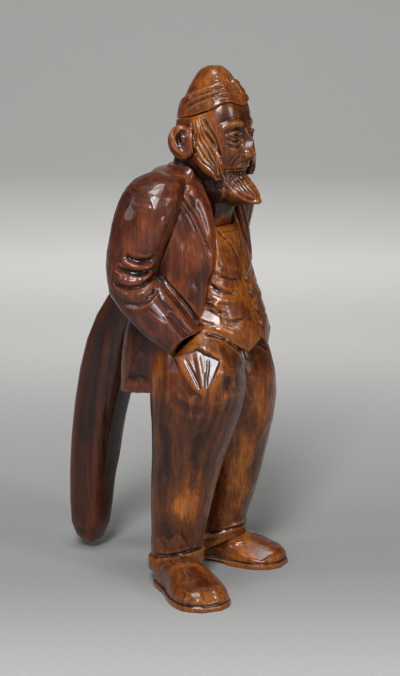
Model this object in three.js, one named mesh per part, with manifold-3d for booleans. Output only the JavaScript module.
// A carved wooden lever nutcracker: a standing figure in a cap, open coat and waistcoat, hands in its
// trouser pockets. A lever pivots on a steel pin in the neck. Its front end is the figure's lower jaw,
// its long back end leaves the coat between the shoulders and hangs behind the legs as the handle.
// Millimetres, +Z up. The figure faces -Y, so its right-hand side is at -X.
import * as THREE from "three";
import { mergeVertices } from "three/addons/utils/BufferGeometryUtils.js";
import Module from "manifold-3d";

const wasm = await Module();
wasm.setup();

// Driving dimensions
const seam = 0.3; // glue line between two carved pieces
const sidePlay = 0.5; // play of the lever in its slot, each side
const overrun = 15; // how far a cutter runs past what it cuts
const weld = 1e-4; // vertices closer than this are one
const rimShare = 0.49; // past this share of a unit cylinder's length lies its end
const arcStep = 5; // degrees between the corners of an arc

const hinge = {
  opening: 20, // degrees, from the closed mouth
  back: 4, // pin axis behind the figure's axis
  drop: 10, // pin axis below the top of the coat block
  pinRadius: 2,
  pinLengthShare: 0.62, // of the coat's half width, so that its ends lie under the sleeves
  pinPlay: 0.35,
  bossRadius: 8,
};

const coat = {
  hem: 93, // floor to the coat's hem
  height: 110,
  halfWidth: 35,
  depth: 27,
  hemTilt: 7, // degrees that the hem rises to the front
  edgeDrop: 1.6, // how far the waistcoat lies below the coat's front edge
  lapel: 1.2,
  collarHeight: 9,
  collarWall: 2,
};

const waistcoat = {
  rise: 22, // coat's hem up to the waistcoat's points
  drop: 18, // top of the coat's block down to the waistcoat's top
  halfWidth: 27.5,
  sideways: -1.5,
  axis: -10,
  depth: 28.6,
  bib: 0.8, // how far the shirt front stands proud
  buttonRadius: 2,
  buttonHeight: 1.7,
};

const arm = {
  halfWidth: 12,
  depth: 14.5,
  cuffDepth: 4,
  cuffWall: 2.4,
};

const leg = {
  halfWidth: 20.5,
  depth: 25,
  topAboveHem: 33, // the trousers reach this far above the coat's hem, under the waistcoat
  stance: 21, // figure's axis to the hip's axis
  foot: 2.5, // floor to the bottom of the leg's form, which the turn-up's plane then cuts
  hemRise: 7,
  turnup: 1.4,
  turnupHeight: 6.5,
};

const shoe = {
  length: 54,
  halfWidth: 13.2,
  height: 17.4,
  sole: 2.8,
  welt: 0.9,
  arch: 1.3,
  archLength: 11,
};

const head = {
  rise: 13, // top of the coat block to the head's centre
  axis: -11,
  halfWidth: 16,
  halfDepth: 18.4,
  halfHeight: 25,
  squareness: 2.35,
  neckHalfWidth: 13.6,
  neckHalfDepth: 11.8,
  neckDepth: 20, // the neck runs this far below the top of the coat block
  napeShare: 0.76, // how much of the neck's thickness is left where it ends inside the head
};

const jaw = {
  halfWidth: 10,
  mouthRise: 10, // mouth line above the pin's axis
  reach: 31, // pin's axis to the lower lip
  height: 13,
  joint: 9.8, // pin's axis to the glue line between lever and jaw
  throatRadius: 27,
  throatWall: 12,
  throatAngle: 46, // degrees below the horizontal
  cup: 3.2,
  cupHalfWidth: 8,
  cupHalfLength: 8,
  vault: 6,
};

const beard = { length: 14.5, halfWidth: 8.8, thickness: 13 };

const whisker = { length: 40, halfWidth: 7.4, thickness: 2.6 };

const ear = { halfWidth: 3.2, halfDepth: 6.6, halfHeight: 8.2, bowl: 2.2, flare: 24, lean: 10 };

const eye = { radius: 3.1, apart: 7, proud: 0.55 };

const cap = {
  height: 29,
  halfWidth: 15,
  halfDepth: 16.4,
  tilt: 11.5, // degrees that its seat on the head rises to the front
  brim: 1.4,
  brimTilt: 23,
  brimRise: 8,
};

const lever = { drop: 190, reach: 62.5, width: 24, thickness: 27.4 };

// Places worked out from the sizes
const coatTop = coat.hem + coat.height;
const waistcoatHeight = coat.height - waistcoat.rise - waistcoat.drop;
const pivot = new THREE.Vector3(0, hinge.back, coatTop - hinge.drop);
const mouthLine = pivot.z + jaw.mouthRise;
const slotHalfWidth = jaw.halfWidth + sidePlay;
const headCentre = new THREE.Vector3(0, head.axis, coatTop + head.rise);
const radians = THREE.MathUtils.degToRad;

// The two legs: which side, where the heel stands (share of the leg's depth), how far the toe turns out and
// how far the hem rises to the front, both in degrees.
const stances = {
  right: { side: -1, heelShare: 0.07, toeOut: 32, hemTilt: 15 },
  left: { side: 1, heelShare: 0.78, toeOut: 8, hemTilt: 29 },
};

// Turns a three.js geometry into a solid that can be cut and joined.
function solid(geometry) {
  const bare = geometry.index ? geometry.toNonIndexed() : geometry.clone();
  bare.deleteAttribute("normal");
  bare.deleteAttribute("uv");
  const merged = mergeVertices(bare, weld);
  return new wasm.Manifold(
    new wasm.Mesh({
      numProp: 3,
      vertProperties: merged.attributes.position.array,
      triVerts: new Uint32Array(merged.index.array),
    }),
  );
}

function geometryOf(made) {
  const mesh = made.getMesh();
  const places = new Float32Array(mesh.numVert * 3);
  for (let i = 0; i < mesh.numVert; i++) {
    places.set(mesh.vertProperties.subarray(i * mesh.numProp, i * mesh.numProp + 3), i * 3);
  }
  const geometry = new THREE.BufferGeometry();
  geometry.setAttribute("position", new THREE.BufferAttribute(places, 3));
  geometry.setIndex(new THREE.BufferAttribute(mesh.triVerts, 1));
  geometry.computeVertexNormals();
  return geometry;
}

function cut(first, ...others) {
  return others.reduce((left, other) => left.subtract(other), first);
}

function join(first, ...others) {
  return others.reduce((left, other) => left.add(other), first);
}

// The value at s on a smooth curve through equally spaced values.
function smooth(values, s) {
  const last = values.length - 1;
  const i = Math.min(Math.floor(s), last - 1);
  const t = s - i;
  const at = (k) => values[THREE.MathUtils.clamp(k, 0, last)];
  const [a, b, c, d] = [at(i - 1), at(i), at(i + 1), at(i + 2)];
  return b + 0.5 * t * (c - a + t * (2 * a - 5 * b + 4 * c - d + t * (3 * (b - c) + d - a)));
}

// A closed body through rings across a path. A station is { x, y, z, half, front, back, square }: the
// ring's centre, its half width along X, its depth to the front and to the back, and how square it is, where
// 2 is an ellipse. The path runs upwards, so front is -Y on an upright stretch. shape, if given, moves each
// finished point.
function loft(stations, { around = 28, rings = 12, grow = 0, shape = null } = {}) {
  const geometry = new THREE.CylinderGeometry(1, 1, 1, around, rings);
  const places = geometry.attributes.position;
  const value = (key, s) => smooth(stations.map((station) => station[key]), s);
  const point = new THREE.Vector3();
  for (let i = 0; i < places.count; i++) {
    const [ux, uy, uz] = [places.getX(i), places.getY(i), places.getZ(i)];
    const s = (uy + 0.5) * (stations.length - 1);
    const nudge = 0.01;
    const [before, after] = [Math.max(s - nudge, 0), Math.min(s + nudge, stations.length - 1)];
    const along = (key) => value(key, after) - value(key, before);
    const rise = new THREE.Vector2(along("y"), along("z")).normalize();
    const radius = Math.hypot(ux, uz);
    const power = 2 / value("square", s);
    const [cos, sin] = radius > 0 ? [ux / radius, uz / radius] : [0, 0];
    const across = radius * Math.sign(cos) * Math.abs(cos) ** power * (value("half", s) + grow);
    const depth = sin > 0 ? value("front", s) + grow : value("back", s) + grow;
    const deep = radius * Math.sign(sin) * Math.abs(sin) ** power * depth;
    point.set(value("x", s) + across, value("y", s) - rise.y * deep, value("z", s) + rise.x * deep);
    const end = Math.abs(uy) > rimShare ? Math.sign(uy) * grow : 0;
    point.y += rise.x * end;
    point.z += rise.y * end;
    if (shape) shape(point);
    places.setXYZ(i, point.x, point.y, point.z);
  }
  return solid(geometry);
}

// Moves a point outwards along a direction where it lies near a centre: a soft bump or dent.
function bump(point, centre, size, push) {
  const away = point.clone().sub(centre).divide(size);
  point.addScaledVector(push, Math.exp(-away.lengthSq()));
}

// A plate with an outline in the figure's YZ plane, [y, z], centred on X.
function sidePlate(outline, halfWidth) {
  const shape = new THREE.Shape(outline.map(([y, z]) => new THREE.Vector2(y, z)));
  const geometry = new THREE.ExtrudeGeometry(shape, { depth: 2 * halfWidth, bevelEnabled: false });
  geometry.translate(0, 0, -halfWidth);
  geometry.applyMatrix4(new THREE.Matrix4().set(0, 0, 1, 0, 1, 0, 0, 0, 0, 1, 0, 0, 0, 0, 0, 1));
  return solid(geometry);
}

// A plate with an outline in the figure's XZ plane, [x, z], from y = back to y = front.
function frontPlate(outline, back, front) {
  const shape = new THREE.Shape(outline.map(([x, z]) => new THREE.Vector2(x, z)));
  const geometry = new THREE.ExtrudeGeometry(shape, { depth: back - front, bevelEnabled: false });
  geometry.rotateX(Math.PI / 2);
  geometry.translate(0, back, 0);
  return solid(geometry);
}

// A slice of a disc round the pin, from one angle to another, in degrees above the forward horizontal.
function sector(radius, from, to, halfWidth) {
  const steps = Math.ceil(Math.abs(to - from) / arcStep);
  const arc = [];
  for (let i = 0; i <= steps; i++) {
    const angle = Math.PI - radians(THREE.MathUtils.lerp(from, to, i / steps));
    arc.push([pivot.y + radius * Math.cos(angle), pivot.z + radius * Math.sin(angle)]);
  }
  return sidePlate([[pivot.y, pivot.z], ...arc], halfWidth);
}

// A block that reaches from a tilted plane upwards, or downwards with up = -1. The plane passes through
// (0, y, z) and rises to the front by tilt degrees.
function halfSpace(y, z, tilt, up = 1) {
  const size = 2 * (coat.height + head.halfHeight);
  const geometry = new THREE.BoxGeometry(size, size, size);
  geometry.translate(0, 0, (up * size) / 2);
  geometry.rotateX(-radians(tilt));
  geometry.translate(0, y, z);
  return solid(geometry);
}

function box(low, high) {
  const size = high.map((value, i) => value - low[i]);
  const geometry = new THREE.BoxGeometry(...size);
  geometry.translate(...low.map((value, i) => value + size[i] / 2));
  return solid(geometry);
}

function rod(radius, halfLength, sides = 24) {
  const geometry = new THREE.CylinderGeometry(radius, radius, 2 * halfLength, sides);
  geometry.rotateZ(Math.PI / 2);
  geometry.translate(pivot.x, pivot.y, pivot.z);
  return solid(geometry);
}

function ball(centre, radii, detail = 4) {
  const geometry = new THREE.IcosahedronGeometry(1, detail);
  geometry.scale(...radii);
  geometry.translate(centre.x, centre.y, centre.z);
  return solid(geometry);
}

function mirrored(made) {
  return made.mirror([1, 0, 0]);
}

// The lever: boss round the pin, arm through the back of the coat, handle
// Station shares: down (of the drop), back (of the reach), thickness, width
const leverShares = [
  [0, 0, 0.66, 0.83],
  [0.079, 0.056, 0.6, 0.83],
  [0.158, 0.16, 0.585, 0.83],
  [0.232, 0.324, 0.62, 0.83],
  [0.311, 0.532, 0.72, 0.84],
  [0.4, 0.676, 0.86, 0.94],
  [0.5, 0.772, 0.93, 1],
  [0.632, 0.868, 0.87, 0.96],
  [0.763, 0.936, 0.77, 0.9],
  [0.889, 0.966, 0.69, 0.82],
  [0.968, 0.979, 0.56, 0.66],
  [1, 1, 0.18, 0.24],
];
const slottedStations = 6; // these pass through the slot in the coat
const narrowStations = 5; // these are as narrow as the jaw

function leverStations() {
  const stations = leverShares.map(([down, back, thick, wide], i) => ({
    x: 0,
    y: pivot.y + back * lever.reach,
    z: pivot.z - down * lever.drop,
    half: i < narrowStations ? jaw.halfWidth : (wide * lever.width) / 2,
    front: (thick * lever.thickness) / 2,
    back: (thick * lever.thickness) / 2,
    square: 3.4,
  }));
  return stations.reverse();
}

// The lever's outline on one side of its centre line, turned round the pin by an angle in degrees.
function leverEdge(side, turned) {
  const stations = leverStations().reverse().slice(0, slottedStations);
  return stations.map((station, i) => {
    const next = stations[Math.min(i + 1, slottedStations - 1)];
    const last = stations[Math.max(i - 1, 0)];
    const along = new THREE.Vector2(next.y - last.y, next.z - last.z).normalize();
    const offset = side * (station.front + sidePlay);
    const place = new THREE.Vector2(station.y - along.y * offset, station.z + along.x * offset);
    place.rotateAround(new THREE.Vector2(pivot.y, pivot.z), radians(turned));
    return [place.x, place.y];
  });
}

// What the lever's back end sweeps from the closed to the open mouth.
function leverSweep() {
  const frontEdge = leverEdge(-1, 0);
  const backEdge = leverEdge(1, hinge.opening).reverse();
  const swept = sidePlate([...frontEdge, ...backEdge], slotHalfWidth);
  return join(swept, rod(hinge.bossRadius + sidePlay, slotHalfWidth, 40));
}

// How far below the horizontal the beard reaches at rest, in degrees
const beardAngle = 14;
const beardRootAngle = 20;

// What the jaw, throat and beard sweep. The head keeps what lies above the mouth line.
function jawSweep() {
  const play = 1.5; // degrees
  const above = 40; // degrees
  const tip = beardPath(beardShares[beardShares.length - 1]);
  const reach = Math.hypot(tip.x - pivot.y, tip.y - pivot.z) + beard.thickness / 4;
  const rootReach = jaw.reach + beard.thickness / 6;
  const chin = sector(reach, above, -(beardAngle + hinge.opening + play), slotHalfWidth);
  const root = sector(rootReach, above, -(beardRootAngle + hinge.opening + play), slotHalfWidth);
  const lowest = -(jaw.throatAngle + hinge.opening + play);
  const throat = sector(jaw.throatRadius + sidePlay, above, lowest, slotHalfWidth);
  return join(chin, root, throat);
}

function belowMouth() {
  return box(
    [-slotHalfWidth, head.axis - head.halfDepth - overrun, pivot.z - jaw.throatRadius],
    [slotHalfWidth, pivot.y, mouthLine],
  );
}

function leverHandle() {
  const body = loft(leverStations(), { around: 20, rings: 16 });
  const boss = rod(hinge.bossRadius, jaw.halfWidth, 40);
  const nose = box(
    [-jaw.halfWidth, pivot.y - jaw.joint, mouthLine - jaw.height],
    [jaw.halfWidth, pivot.y, mouthLine - seam],
  );
  return cut(join(body, boss, nose), rod(hinge.pinRadius + hinge.pinPlay, lever.width));
}

// Lower jaw: lip, chin, nut cup and the throat that fills the neck of the coat
// Station shares: height, front (of the reach)
const jawShares = [
  [0, 0.72],
  [0.2, 0.93],
  [0.5, 1.02],
  [0.78, 0.96],
  [1, 1],
];

function jawBlock(grow = 0) {
  const stations = jawShares.map(([up, front]) => ({
    x: 0,
    y: pivot.y - jaw.reach / 2,
    z: mouthLine - jaw.height + up * (jaw.height - seam),
    half: jaw.halfWidth,
    front: front * jaw.reach - jaw.reach / 2,
    back: jaw.reach / 2,
    square: 3.6,
  }));
  return loft(stations, { around: 24, rings: 6, grow });
}

function lowerJaw() {
  const throat = cut(
    sector(jaw.throatRadius, 0, -jaw.throatAngle, jaw.halfWidth),
    sector(jaw.throatRadius - jaw.throatWall, overrun, -(jaw.throatAngle + overrun), lever.width),
  );
  const cup = ball(
    new THREE.Vector3(0, pivot.y - jaw.joint - jaw.cupHalfLength - seam, mouthLine),
    [jaw.cupHalfWidth, jaw.cupHalfLength, jaw.cup],
    4,
  );
  const behind = box(
    [-lever.width, pivot.y - jaw.joint - seam, pivot.z - jaw.throatRadius],
    [lever.width, pivot.y + jaw.reach, mouthLine + overrun],
  );
  return cut(join(jawBlock(), throat), cup, behind);
}

// Station shares: forward (of the length), down (of the length), half width, thickness
const beardShares = [
  [0.08, 0.16, 0.98, 1.16],
  [0.24, 0.17, 1, 1.04],
  [0.45, 0.23, 0.92, 0.84],
  [0.7, 0.33, 0.7, 0.54],
  [0.9, 0.43, 0.42, 0.28],
  [1, 0.48, 0.2, 0.13],
];

function beardPath([forward, down]) {
  const root = new THREE.Vector2(pivot.y - 0.86 * jaw.reach, pivot.z + 0.1 * jaw.mouthRise);
  return root.add(new THREE.Vector2(-forward * beard.length, -down * beard.length));
}

function chinBeard() {
  const stations = beardShares.map((station) => ({
    x: 0,
    y: beardPath(station).x,
    z: beardPath(station).y,
    half: station[2] * beard.halfWidth,
    front: (station[3] * beard.thickness) / 2,
    back: (station[3] * beard.thickness) / 2,
    square: 2.4,
  }));
  const body = loft(stations.reverse(), { around: 16, rings: 9 });
  return cut(body, jawBlock(seam), sector(jaw.throatRadius + seam, overrun, -2 * overrun, lever.width));
}

// The coat block
// Station shares: height, half width, front, back (of the depth), square
const coatShares = [
  [0, 1, 0.2, 1.05, 4],
  [0.14, 1, 0.22, 1.05, 3.8],
  [0.26, 0.98, 0.6, 1.04, 3.2],
  [0.36, 0.95, 0.9, 1.02, 2.6],
  [0.5, 0.92, 0.88, 1.02, 2.3],
  [0.64, 0.9, 0.86, 1.02, 2.15],
  [0.76, 0.87, 0.76, 0.98, 2.05],
  [0.87, 0.81, 0.6, 0.92, 2.05],
  [0.95, 0.69, 0.43, 0.8, 2.05],
  [1, 0.52, 0.34, 0.66, 2],
];

function coatLoft(grow = 0) {
  const stations = coatShares.map(([up, wide, front, back, square]) => ({
    x: 0,
    y: 0,
    z: coat.hem + up * coat.height,
    half: wide * coat.halfWidth,
    front: front * coat.depth,
    back: back * coat.depth,
    square,
  }));
  return loft(stations, { around: 36, rings: 13, grow });
}

// The coat's block without what lies below its hem.
function coatBlock(grow = 0) {
  return cut(coatLoft(grow), halfSpace(coat.depth, coat.hem - grow, coat.hemTilt, -1));
}

// The coat's open front, as shares of its half width and height.
const openingShares = [
  [0.32, 1.1],
  [0.32, 0.84],
  [0.36, 0.71],
  [0.44, 0.62],
  [0.58, 0.45],
  [0.71, 0.33],
  [0.88, 0.27],
  [1.2, 0.25],
  [1.2, 0.1],
];

function coatOpening(grow = 0) {
  const side = openingShares.map(([x, z]) => [x * coat.halfWidth + grow, coat.hem + z * coat.height]);
  const other = side.map(([x, z]) => [-x, z]).reverse();
  return frontPlate([...side, ...other], waistcoat.axis - coat.edgeDrop, -2 * coat.depth);
}

function neck(grow = 0) {
  const stations = [
    [coatTop - head.neckDepth, 1],
    [coatTop, 1],
    [headCentre.z, head.napeShare],
  ].map(([z, share]) => ({
    x: 0,
    y: head.axis / 4,
    z,
    half: share * head.neckHalfWidth,
    front: share * head.neckHalfDepth,
    back: share * head.neckHalfDepth,
    square: 2.3,
  }));
  return loft(stations, { around: 28, rings: 2, grow });
}

function coatBody() {
  // The pin's bore goes right through, and the sleeves cover its ends.
  const bore = rod(hinge.pinRadius + seam, coat.halfWidth);
  return cut(coatBlock(), coatOpening(), neck(seam), leverSweep(), jawSweep(), bore);
}

// Waistcoat and shirt front
// Station shares: height, half width, front (of the depth), square
const waistcoatShares = [
  [0, 0.97, 0.98, 2.1],
  [0.1, 1, 1, 2.1],
  [0.22, 0.98, 0.96, 2.1],
  [0.34, 0.94, 0.83, 2.1],
  [0.46, 0.9, 0.71, 2.1],
  [0.6, 0.84, 0.6, 2.1],
  [0.74, 0.76, 0.46, 2.1],
  [0.88, 0.66, 0.3, 2.1],
  [1, 0.56, 0.16, 2.1],
];
const waistcoatFoot = coat.hem + waistcoat.rise;

function waistcoatLoft(grow = 0) {
  const stations = waistcoatShares.map(([up, wide, front, square]) => ({
    x: waistcoat.sideways,
    y: waistcoat.axis,
    z: waistcoatFoot + up * waistcoatHeight,
    half: wide * waistcoat.halfWidth,
    front: front * waistcoat.depth,
    back: -waistcoat.axis,
    square,
  }));
  return loft(stations, { around: 32, rings: 10, grow });
}

// The hem's outline as shares of the half width and height: two points, with a notch between them.
const hemShares = [
  [1.3, 0.2],
  [0.95, 0.17],
  [0.33, 0.02],
  [0, 0.11],
];

function belowWaistcoat(grow = 0) {
  const side = hemShares.map(([x, z]) => [
    x * waistcoat.halfWidth,
    waistcoatFoot + z * waistcoatHeight + grow,
  ]);
  const other = side.slice(0, -1).map(([x, z]) => [-x, z]).reverse();
  const low = waistcoatFoot - overrun;
  const wide = hemShares[0][0] * waistcoat.halfWidth;
  return frontPlate([[wide, low], ...side, ...other, [-wide, low]], coat.depth, -3 * coat.depth);
}

function waistcoatSolid(grow = 0) {
  return cut(waistcoatLoft(grow), belowWaistcoat(-grow));
}

function waistcoatFront() {
  const behind = box(
    [-2 * waistcoat.halfWidth, waistcoat.axis - coat.edgeDrop - seam, coat.hem],
    [2 * waistcoat.halfWidth, 2 * coat.depth, coatTop + overrun],
  );
  const sleeves = join(armLoft("right", seam), armLoft("left", seam));
  const between = waistcoatSolid().intersect(coatOpening(-seam));
  return cut(between, behind, jawSweep(), neck(seam), sleeves);
}

// The shirt front shows in a V, as shares of the waistcoat's half width and height.
const shirtShares = [
  [0.02, 0.53],
  [0.52, 0.61],
  [0.62, 0.98],
];

function shirtFront() {
  const side = shirtShares.map(([x, z]) => [x * waistcoat.halfWidth, waistcoatFoot + z * waistcoatHeight]);
  const outline = frontPlate(
    [...side, ...side.map(([x, z]) => [-x, z]).reverse()],
    waistcoat.axis - coat.edgeDrop - waistcoat.bib,
    -2 * coat.depth,
  );
  const between = waistcoatLoft(waistcoat.bib).intersect(outline).intersect(coatOpening(-seam));
  return cut(between, waistcoatLoft(seam), jawSweep(), neck(seam));
}

// Heights of the four buttons, as shares of the waistcoat's height.
const buttonShares = [0.2, 0.3, 0.4, 0.5];

function waistcoatDepthAt(share) {
  const ups = waistcoatShares.map(([up]) => up);
  const fronts = waistcoatShares.map(([, , front]) => front);
  const i = ups.findIndex((up) => up > share) - 1;
  const s = i + (share - ups[i]) / (ups[i + 1] - ups[i]);
  return smooth(fronts, s) * waistcoat.depth;
}

function button(share) {
  const { buttonRadius: radius, buttonHeight: height } = waistcoat;
  const front = waistcoat.axis - waistcoatDepthAt(share);
  const centre = new THREE.Vector3(0, front, waistcoatFoot + share * waistcoatHeight);
  return cut(ball(centre, [radius, height, radius], 1), waistcoatLoft(seam));
}

// Lapels and collar
// Lapel outline, as shares of the coat's half width and height, outer edge first.
const lapelShares = [
  [0.5, 0.94],
  [0.76, 0.87],
  [0.69, 0.8],
  [0.57, 0.69],
  [0.5, 0.54],
];

function lapel() {
  const scaled = (shares) => shares.map(([x, z]) => [x * coat.halfWidth, coat.hem + z * coat.height]);
  const inner = [[openingShares[0][0], lapelShares[0][1]], ...openingShares.slice(1, 4)];
  const outline = frontPlate(scaled([...inner, ...[...lapelShares].reverse()]), 0, -2 * coat.depth);
  const made = coatLoft(coat.lapel).intersect(outline);
  return cut(made, coatLoft(seam), coatOpening(seam), jawSweep(), neck(seam), collarLoft(seam));
}

function collarLoft(grow = 0) {
  const stations = [-0.1, 0.5, 1].map((up) => ({
    x: 0,
    y: head.axis / 4,
    z: coatTop + (up - 0.5) * coat.collarHeight,
    half: head.neckHalfWidth + coat.collarWall * (2.2 - up),
    front: head.neckHalfDepth,
    back: head.neckHalfDepth + coat.collarWall * (1.7 - 0.5 * up),
    square: 2.3,
  }));
  return loft(stations, { around: 28, rings: 2, grow });
}

// The collar goes round the back of the neck and ends above the lapels.
function collar() {
  const wide = 2 * coat.halfWidth;
  const front = -0.8 * head.neckHalfDepth;
  const open = box([-wide, -2 * coat.depth, coat.hem], [wide, front, coatTop + head.rise]);
  return cut(collarLoft(), neck(seam), coatLoft(seam), jawSweep(), leverSweep(), headSolid(seam), open);
}

// Sleeves
// Station shares: x, y, z (of the half width, depth and height of the coat), half width, depth. The right
// hand reaches forward into its pocket, the left one stays at the hip.
const upperArmShares = [
  [1.02, 0.4, 0.6, 1, 0.9],
  [1, 0.28, 0.73, 1, 0.98],
  [0.94, 0.12, 0.855, 1.02, 0.98],
  [0.8, 0.02, 0.935, 0.98, 0.84],
  [0.6, -0.02, 0.98, 0.6, 0.46],
];
const armShares = {
  right: [
    [0.98, -0.68, 0.27, 0.78, 0.58],
    [1.02, -0.42, 0.325, 0.88, 0.7],
    [1.06, -0.02, 0.415, 0.96, 0.8],
    [1.06, 0.36, 0.495, 1, 0.82],
    ...upperArmShares,
  ],
  left: [
    [0.9, -0.06, 0.25, 0.74, 0.62],
    [0.96, 0.04, 0.33, 0.88, 0.76],
    [1.03, 0.22, 0.415, 0.96, 0.86],
    [1.05, 0.38, 0.495, 1, 0.94],
    ...upperArmShares,
  ],
};

function armLoft(name, grow = 0) {
  const side = stances[name].side;
  const stations = armShares[name].map(([x, y, z, wide, deep]) => ({
    x: side * x * coat.halfWidth,
    y: y * coat.depth,
    z: coat.hem + z * coat.height,
    half: wide * arm.halfWidth,
    front: deep * arm.depth,
    back: deep * arm.depth,
    square: 2.3,
  }));
  return loft(stations, { around: 22, rings: 13, grow });
}

// Only the right cuff shows: the left hand and cuff end against the coat's side.
function sleeve(name) {
  const made = cut(armLoft(name), coatLoft(coat.lapel + seam));
  return name === "right" ? cut(made, cuffHollow(name)) : made;
}

// The cuff is hollowed a little round the wrist, which goes on into the pocket.
function cuffHollow(name) {
  const side = stances[name].side;
  const [first, second] = armShares[name];
  const deep = arm.cuffDepth / (coat.height * (second[2] - first[2]));
  const stations = [-deep, 0, deep].map((s) => {
    const [x, y, z, wide, depthShare] = first.map((value, i) => THREE.MathUtils.lerp(value, second[i], s));
    return {
      x: side * x * coat.halfWidth,
      y: y * coat.depth,
      z: coat.hem + z * coat.height,
      half: wide * arm.halfWidth - arm.cuffWall,
      front: depthShare * arm.depth - arm.cuffWall,
      back: depthShare * arm.depth - arm.cuffWall,
      square: 2.3,
    };
  });
  return loft(stations, { around: 16, rings: 2 });
}

// Trousers
// Station shares, hem to waist: x (of the stance), y (of the depth), height, half width, front, back
const legShares = {};
legShares.right = [
  [1.08, -0.15, 0, 0.56, 0.48, 0.46],
  [1.08, -0.17, 0.1, 0.56, 0.48, 0.48],
  [1.06, -0.22, 0.2, 0.6, 0.5, 0.54],
  [1.02, -0.3, 0.34, 0.76, 0.55, 0.61],
  [0.96, -0.41, 0.5, 0.93, 0.62, 0.67],
  [0.95, -0.53, 0.66, 1, 0.82, 0.82],
  [0.94, -0.58, 0.78, 1.02, 0.95, 0.92],
  [0.92, -0.54, 0.9, 0.94, 0.9, 0.97],
  [0.86, -0.42, 1, 0.74, 0.7, 0.88],
];
legShares.left = [
  [0.98, 0.1, 0, 0.62, 0.52, 0.54],
  [0.98, 0.06, 0.1, 0.62, 0.52, 0.55],
  [0.98, -0.04, 0.2, 0.66, 0.56, 0.6],
  [0.98, -0.2, 0.34, 0.77, 0.64, 0.66],
  [0.96, -0.34, 0.5, 0.92, 0.68, 0.73],
  [0.94, -0.44, 0.66, 0.98, 0.77, 0.84],
  [0.9, -0.46, 0.78, 0.96, 0.76, 0.92],
  [0.87, -0.44, 0.9, 0.87, 0.6, 0.96],
  [0.84, -0.4, 1, 0.7, 0.46, 0.86],
];
const legHeight = coat.hem + leg.topAboveHem - leg.foot;

function legLoft(name, grow = 0) {
  const side = stances[name].side;
  const stations = legShares[name].map(([x, y, z, wide, front, back]) => ({
    x: side * x * leg.stance,
    y: y * leg.depth,
    z: leg.foot + z * legHeight,
    half: wide * leg.halfWidth,
    front: front * leg.depth,
    back: back * leg.depth,
    square: 2.25,
  }));
  return loft(stations, { around: 26, rings: 12, grow, shape: pocketBulge });
}

// The right hand in its pocket rounds the trousers out.
function pocketBulge(point) {
  const centre = new THREE.Vector3(-1.5 * leg.stance, -1.2 * leg.depth, leg.foot + 0.84 * legHeight);
  const size = new THREE.Vector3(0.6 * leg.stance, 0.7 * leg.depth, 0.13 * legHeight);
  bump(point, centre, size, new THREE.Vector3(-0.1 * leg.depth, -0.16 * leg.depth, 0));
}

// Everything above a leg's hem, or above the same planes that far over it. The hem is level behind the
// ankle and rises to the front.
function aboveHem({ hemTilt }, up) {
  return halfSpace(0, leg.hemRise + up, 0).intersect(halfSpace(0, leg.hemRise + up, hemTilt));
}

function trouserLeg(name) {
  const { side } = stances[name];
  const wide = 3 * leg.halfWidth;
  const edges = [side * seam / 2, -side * wide].sort((a, b) => a - b);
  const otherSide = box([edges[0], -3 * leg.depth, 0], [edges[1], 3 * leg.depth, 2 * coat.hem]);
  const kept = legLoft(name).intersect(aboveHem(stances[name], 0));
  return cut(kept, otherSide, coatBlock(seam), waistcoatSolid(seam), armLoft(name, seam));
}

function turnup(name) {
  const outer = legLoft(name, leg.turnup).intersect(aboveHem(stances[name], 0));
  return cut(outer, aboveHem(stances[name], leg.turnupHeight), legLoft(name, seam));
}

// Shoes, made along -Y with the heel's back at the origin, then turned out
// Station shares: along, half width, height
const shoeShares = [
  [0, 0.36, 0.66],
  [0.05, 0.58, 0.82],
  [0.16, 0.72, 0.98],
  [0.32, 0.76, 1],
  [0.48, 0.86, 0.98],
  [0.64, 1, 0.84],
  [0.8, 1, 0.68],
  [0.92, 0.84, 0.56],
  [0.985, 0.52, 0.42],
  [1, 0.3, 0.34],
];

function shoeLoft(grow = 0) {
  const stations = shoeShares.map(([along, wide, high]) => ({
    x: 0,
    y: -along * shoe.length,
    z: shoe.sole,
    half: wide * shoe.halfWidth,
    front: shoe.sole + overrun,
    back: high * shoe.height - shoe.sole,
    square: 2.5,
  }));
  return loft(stations, { around: 24, rings: 12, grow });
}

function slab(low, high) {
  return box([-shoe.length, -2 * shoe.length, low], [shoe.length, shoe.length, high]);
}

function shoeSole() {
  const plate = shoeLoft(shoe.welt).intersect(slab(0, shoe.sole - seam));
  const middle = -0.42 * shoe.length;
  const arch = box(
    [-shoe.length, middle - shoe.archLength / 2, -overrun],
    [shoe.length, middle + shoe.archLength / 2, shoe.arch],
  );
  return cut(plate, arch);
}

function placed(made, name) {
  const { side, heelShare, toeOut } = stances[name];
  const heel = [side * legShares[name][0][0] * leg.stance, heelShare * leg.depth, 0];
  return made.rotate([0, 0, side * toeOut]).translate(heel);
}

function shoeUpper(name) {
  const upper = placed(shoeLoft().intersect(slab(shoe.sole, 2 * shoe.height)), name);
  return cut(upper, legLoft(name, leg.turnup + seam).intersect(aboveHem(stances[name], -seam)));
}

// Head
// Soft bumps and dents on a smooth egg: place across and up, size across and up, push to the front,
// all as shares of the head's half sizes.
const faceShares = [
  [0, 0.22, 0.75, 0.09, 0.04],
  [0.4, 0.1, 0.17, 0.11, -0.13],
  [0, 0.1, 0.1, 0.14, 0.1],
  [0, -0.06, 0.12, 0.15, 0.21],
  [0, -0.24, 0.16, 0.12, 0.33],
  [0.2, -0.29, 0.1, 0.07, 0.07],
  [0.5, -0.18, 0.22, 0.16, 0.05],
  [0, -0.6, 0.36, 0.13, 0.07],
];

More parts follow.
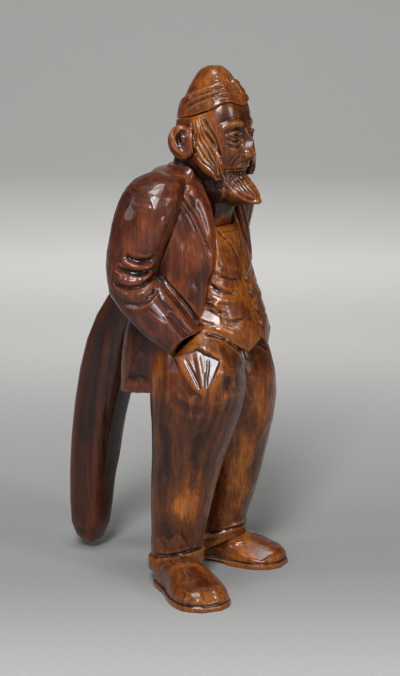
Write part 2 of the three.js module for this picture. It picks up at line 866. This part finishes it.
function headSolid(grow = 0) {
  const geometry = new THREE.IcosahedronGeometry(1, 7);
  const places = geometry.attributes.position;
  const n = head.squareness;
  for (let i = 0; i < places.count; i++) {
    const d = [places.getX(i), places.getY(i), places.getZ(i)];
    const stretch = d.reduce((sum, value) => sum + Math.abs(value) ** n, 0) ** (-1 / n);
    const [x, y, z] = d.map((value) => value * stretch);
    const narrow = (z < 0 ? 1 - 0.16 * z * z : 1) * (y < 0 ? 1 - 0.17 * y * y : 1);
    const facing = THREE.MathUtils.smoothstep(-y, 0, 0.6);
    let push = 0;
    for (const [across, up, wide, tall, forward] of faceShares) {
      const near = (sign) => Math.exp(-(((x - sign * across) / wide) ** 2 + ((z - up) / tall) ** 2));
      push += forward * (across ? near(1) + near(-1) : near(1));
    }
    places.setXYZ(
      i,
      headCentre.x + x * narrow * (head.halfWidth + grow),
      headCentre.y + y * (head.halfDepth + grow) - push * facing * head.halfDepth,
      headCentre.z + z * (head.halfHeight + grow),
    );
  }
  return solid(geometry);
}

const capSeat = new THREE.Vector2(head.axis + head.halfDepth, headCentre.z + 0.34 * head.halfHeight);

function headBlock() {
  const whole = join(headSolid(), neck());
  const vault = ball(
    new THREE.Vector3(0, pivot.y - jaw.joint - jaw.cupHalfLength - seam, mouthLine - seam),
    [jaw.cupHalfWidth, jaw.cupHalfLength, jaw.vault],
    4,
  );
  const shoulders = cut(coatLoft(seam), neck(seam));
  return cut(
    whole,
    shoulders,
    halfSpace(capSeat.x, capSeat.y - seam / 2, cap.tilt),
    belowMouth(),
    jawSweep().intersect(belowMouth()),
    leverSweep(),
    vault,
    rod(hinge.pinRadius + seam, head.halfWidth * 2),
    eyeball(-1, seam),
    eyeball(1, seam),
  );
}

function eyeball(side, grow = 0) {
  const centre = new THREE.Vector3(
    side * eye.apart,
    headCentre.y - 0.87 * head.halfDepth + eye.radius * 0.75 - eye.proud,
    headCentre.z + 0.09 * head.halfHeight,
  );
  const size = eye.radius + grow;
  return ball(centre, [size, size, size], 2);
}

function earSolid() {
  const geometry = new THREE.IcosahedronGeometry(1, 2);
  geometry.scale(ear.halfWidth, ear.halfDepth, ear.halfHeight);
  const places = geometry.attributes.position;
  const point = new THREE.Vector3();
  for (let i = 0; i < places.count; i++) {
    point.fromBufferAttribute(places, i);
    if (point.x > 0) {
      const size = new THREE.Vector3(ear.halfWidth * 2, ear.halfDepth * 0.5, ear.halfHeight * 0.5);
      bump(point, new THREE.Vector3(0, -0.1 * ear.halfDepth, 0), size, new THREE.Vector3(-ear.bowl, 0, 0));
    }
    places.setXYZ(i, point.x, point.y, point.z);
  }
  geometry.rotateZ(radians(-ear.flare));
  geometry.rotateX(radians(-ear.lean));
  geometry.translate(
    head.halfWidth + 0.85 * ear.halfWidth,
    headCentre.y + 0.37 * head.halfWidth,
    headCentre.z - 0.02 * head.halfHeight,
  );
  return cut(solid(geometry), headSolid(seam), capLoft(cap.brim + seam));
}

// Side whisker, tip to temple. Station shares: x (of the head's half width), back and up (of the length),
// half width, thickness
const whiskerShares = [
  [0.84, -0.29, -0.44, 0.14, 0.7],
  [0.88, -0.26, -0.35, 0.6, 0.9],
  [0.93, -0.18, -0.23, 0.82, 1],
  [0.97, -0.1, -0.09, 0.77, 1],
  [1, -0.035, 0.08, 0.56, 0.9],
  [1, 0, 0.26, 0.6, 0.8],
];

function whiskerSolid() {
  const stations = whiskerShares.map(([x, back, up, wide, thick]) => ({
    x: x * head.halfWidth,
    y: headCentre.y + back * whisker.length,
    z: headCentre.z + up * whisker.length,
    half: thick * whisker.thickness,
    front: wide * whisker.halfWidth,
    back: wide * whisker.halfWidth,
    square: 2.2,
  }));
  const body = loft(stations, { around: 16, rings: 8 });
  const inside = box(
    [-2 * head.halfWidth, -2 * coat.depth, coat.hem],
    [slotHalfWidth + seam, coat.depth, coatTop + 2 * head.halfHeight],
  );
  return cut(
    body,
    headSolid(seam),
    neck(seam),
    inside,
    capLoft(cap.brim + seam),
    earGap(),
    coatLoft(coat.lapel + seam),
    collarLoft(seam),
  );
}

// Room between the ear and the whisker in front of it.
function earGap() {
  const middle = headCentre.y + 0.3 * head.halfWidth - ear.halfDepth - seam;
  return box(
    [0, middle, headCentre.z - 1.4 * ear.halfHeight],
    [2 * head.halfWidth, middle + 3 * ear.halfDepth, headCentre.z + 3 * ear.halfHeight],
  );
}

// Cap
// Station shares: height, half width, front, back (of the half depth)
const capShares = [
  [0, 1, 1, 1],
  [0.22, 1, 0.99, 0.98],
  [0.45, 0.93, 0.86, 0.87],
  [0.66, 0.77, 0.7, 0.71],
  [0.83, 0.58, 0.53, 0.54],
  [0.94, 0.43, 0.38, 0.38],
  [1, 0.22, 0.15, 0.15],
];

function capLoft(grow = 0) {
  const stations = capShares.map(([up, wide, front, back]) => ({
    x: 0,
    y: headCentre.y,
    z: capSeat.y - 0.1 * cap.height + up * cap.height,
    half: wide * cap.halfWidth,
    front: front * cap.halfDepth,
    back: back * cap.halfDepth,
    square: 2.2,
  }));
  return loft(stations, { around: 30, rings: 8, grow });
}

function capCrown() {
  return capLoft().intersect(halfSpace(capSeat.x, capSeat.y + seam / 2, cap.tilt));
}

function capBrim() {
  const above = halfSpace(capSeat.x, capSeat.y + cap.brimRise, cap.brimTilt);
  const seat = halfSpace(capSeat.x, capSeat.y + seam / 2, cap.tilt);
  return cut(capLoft(cap.brim).intersect(seat), above, capLoft(seam));
}

function pivotPin() {
  return rod(hinge.pinRadius, hinge.pinLengthShare * coat.halfWidth);
}

// Assembly
const stained = (color, roughness) => new THREE.MeshStandardMaterial({ color, roughness, metalness: 0 });
const darkWalnut = stained(0x4a2010, 0.35);
const warmWalnut = stained(0x7a3f18, 0.35);
const paleWalnut = stained(0x8a5020, 0.38);
const polishedEye = stained(0x120a08, 0.15);
const steel = new THREE.MeshStandardMaterial({ color: 0x8c8c8c, roughness: 0.4, metalness: 1 });

const figure = new THREE.Group();

function add(name, made, material) {
  const mesh = new THREE.Mesh(geometryOf(made), material);
  mesh.name = name;
  figure.add(mesh);
}

function addPair(name, rightSide, material) {
  add("right_" + name, rightSide, material);
  add("left_" + name, mirrored(rightSide), material);
}

add("coat_body", coatBody(), darkWalnut);
add("waistcoat", waistcoatFront(), warmWalnut);
add("shirt_front", shirtFront(), warmWalnut);
add("coat_collar", collar(), darkWalnut);
addPair("lapel", mirrored(lapel()), darkWalnut);

for (const name of Object.keys(stances)) {
  add(name + "_sleeve", sleeve(name), darkWalnut);
  add(name + "_trouser_leg", trouserLeg(name), warmWalnut);
  add(name + "_turnup", turnup(name), warmWalnut);
  add(name + "_shoe", shoeUpper(name), paleWalnut);
  add(name + "_sole", placed(shoeSole(), name), paleWalnut);
}

buttonShares.forEach((share, i) => add(`waistcoat_button_${i + 1}`, button(share), darkWalnut));

add("head", headBlock(), warmWalnut);
add("cap_crown", capCrown(), warmWalnut);
add("cap_brim", capBrim(), warmWalnut);
addPair("ear", mirrored(earSolid()), warmWalnut);
addPair("whisker", mirrored(whiskerSolid()), warmWalnut);
addPair("eye", eyeball(-1), polishedEye);
add("pivot_pin", pivotPin(), steel);
add("lever_handle", leverHandle(), darkWalnut);
add("lower_jaw", lowerJaw(), warmWalnut);
add("chin_beard", chinBeard(), warmWalnut);

// The origin is on the floor, in the middle of the whole piece's outline.
const bounds = new THREE.Box3().setFromObject(figure);
const middle = bounds.getCenter(new THREE.Vector3());
figure.position.set(-middle.x, -middle.y, 0);

const nutcracker = new THREE.Group();
nutcracker.add(figure);
export default nutcracker;
